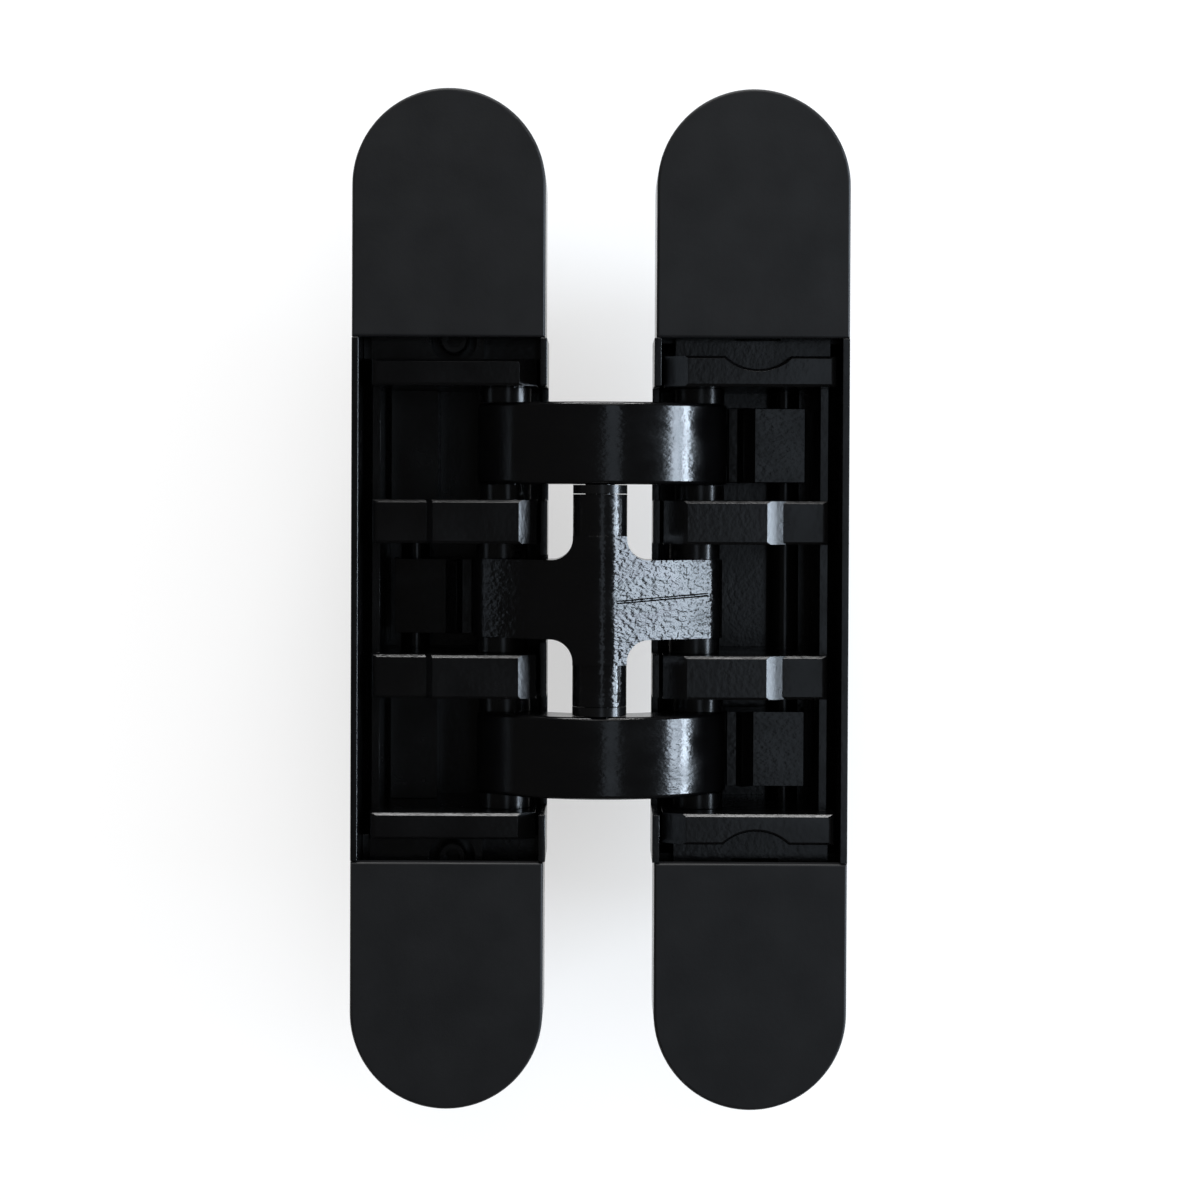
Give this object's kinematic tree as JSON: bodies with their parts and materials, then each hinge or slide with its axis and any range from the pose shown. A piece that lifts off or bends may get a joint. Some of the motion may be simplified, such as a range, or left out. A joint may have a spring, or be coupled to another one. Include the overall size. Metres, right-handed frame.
{
  "type": "concealed invisible door hinge",
  "caption": "Concealed door hinge shown open flat: two pocket housings with cover caps, joined by crossing link arms that fold into the pockets when the door closes.",
  "frame": {"origin": "midway between the two open leaves, at half their length, in the plane of their faces", "axes": "+Z along the leaves, +X from the left leaf to the right leaf, +Y from the faces into the pockets"},
  "size_m": [0.0566, 0.0302, 0.1164],
  "materials": {
    "housing_black": "satin black coat",
    "cap_black": "fine matt black coat",
    "carrier_black": "satin black coat",
    "link_black": "semi-gloss black coat with slight orange peel",
    "pin_black": "black oxide steel",
    "bush_black": "smooth black bearing plastic",
    "screw_black": "black zinc plated steel"
  },
  "bodies": {
    "case_left": {"case_left": "housing_black", "cap_left_top": "cap_black", "cap_left_bottom": "cap_black"},
    "carrier_left": {"carrier_left": "carrier_black", "pivot_pin_left_top": "pin_black", "pivot_pin_left_bottom": "pin_black", "anchor_pin_left": "pin_black", "pivot_bushes_left": "bush_black", "anchor_spacers_left": "bush_black"},
    "adjust_screw_left_top": {"adjust_screw_left_top": "screw_black"},
    "adjust_screw_left_bottom": {"adjust_screw_left_bottom": "screw_black"},
    "outer_arms": {"outer_arm_top": "link_black", "outer_arm_bottom": "link_black", "centre_pin": "pin_black", "float_pin_right_top": "pin_black", "float_pin_right_bottom": "pin_black", "float_bushes_right": "bush_black", "barrel_collars": "bush_black"},
    "centre_link": {"centre_link": "link_black", "float_pin_left": "pin_black", "float_bushes_left": "bush_black"},
    "tail_link_left": {"tail_link_left": "link_black"},
    "carrier_right": {"carrier_right": "carrier_black", "pivot_pin_right": "pin_black", "anchor_pin_right": "pin_black", "pivot_bushes_right": "bush_black"},
    "tail_links_right": {"tail_link_right_top": "link_black", "tail_link_right_bottom": "link_black"},
    "case_right": {"case_right": "housing_black", "cap_right_top": "cap_black", "cap_right_bottom": "cap_black"},
    "adjust_screw_right_top": {"adjust_screw_right_top": "screw_black"},
    "adjust_screw_right_bottom": {"adjust_screw_right_bottom": "screw_black"}
  },
  "joints": [
    {"name": "side_adjust", "type": "slide", "parent": "case_left", "child": "carrier_left", "axis": [1, 0, 0], "range_m": [-0.0008, 0.0002]},
    {"name": "fold", "type": "hinge", "parent": "carrier_left", "child": "outer_arms", "pos_m": [-0.011, 0.0084, 0], "axis": [0, 0, -1], "range_deg": [0, 92.84]},
    {"name": "centre_turn", "type": "hinge", "parent": "outer_arms", "child": "centre_link", "pos_m": [0, 0.0016, 0], "axis": [0, 0, -1], "range_deg": [-5.73, 0]},
    {"name": "right_pivot", "type": "hinge", "parent": "centre_link", "child": "carrier_right", "pos_m": [0.011, 0.0084, 0], "axis": [0, 0, -1], "range_deg": [0, 92.89]},
    {"name": "tail_left_swing", "type": "hinge", "parent": "carrier_left", "child": "tail_link_left", "pos_m": [-0.0222, 0.0195, 0], "axis": [0, 0, -1], "range_deg": [-1.43, 0]},
    {"name": "tails_right_swing", "type": "hinge", "parent": "carrier_right", "child": "tail_links_right", "pos_m": [0.0222, 0.0195, 0], "axis": [0, 0, -1], "range_deg": [0, 1.43]},
    {"name": "height_adjust", "type": "slide", "parent": "carrier_right", "child": "case_right", "axis": [0, 0, 1], "range_m": [-0.0015, 0.0015]},
    {"name": "screw_left_top_turn", "type": "hinge", "parent": "case_left", "child": "adjust_screw_left_top", "pos_m": [-0.0169, 0.006, 0.02977], "axis": [0, -1, 0], "range_deg": [-117.9, 30.2]},
    {"name": "screw_left_bottom_turn", "type": "hinge", "parent": "case_left", "child": "adjust_screw_left_bottom", "pos_m": [-0.0169, 0.006, -0.02977], "axis": [0, -1, 0], "range_deg": [-117.9, 30.2]},
    {"name": "screw_right_top_turn", "type": "hinge", "parent": "case_right", "child": "adjust_screw_right_top", "pos_m": [0.018, 0.006, 0.03327], "axis": [0, -1, 0], "range_deg": [-88.7, 88.7]},
    {"name": "screw_right_bottom_turn", "type": "hinge", "parent": "case_right", "child": "adjust_screw_right_bottom", "pos_m": [0.018, 0.006, -0.03327], "axis": [0, -1, 0], "range_deg": [-88.7, 88.7]}
  ],
  "couplings": [
    {"joint": "centre_turn", "follows": "fold", "ratio": -0.061181},
    {"joint": "right_pivot", "follows": "fold", "ratio": 1},
    {"joint": "tail_left_swing", "follows": "fold", "ratio": -0.01481},
    {"joint": "tails_right_swing", "follows": "fold", "ratio": 0.01481},
    {"joint": "screw_left_top_turn", "follows": "side_adjust", "rad_per_m": 2500},
    {"joint": "screw_left_bottom_turn", "follows": "side_adjust", "rad_per_m": 2500},
    {"joint": "screw_right_top_turn", "follows": "height_adjust", "rad_per_m": 1000},
    {"joint": "screw_right_bottom_turn", "follows": "height_adjust", "rad_per_m": 1000}
  ]
}
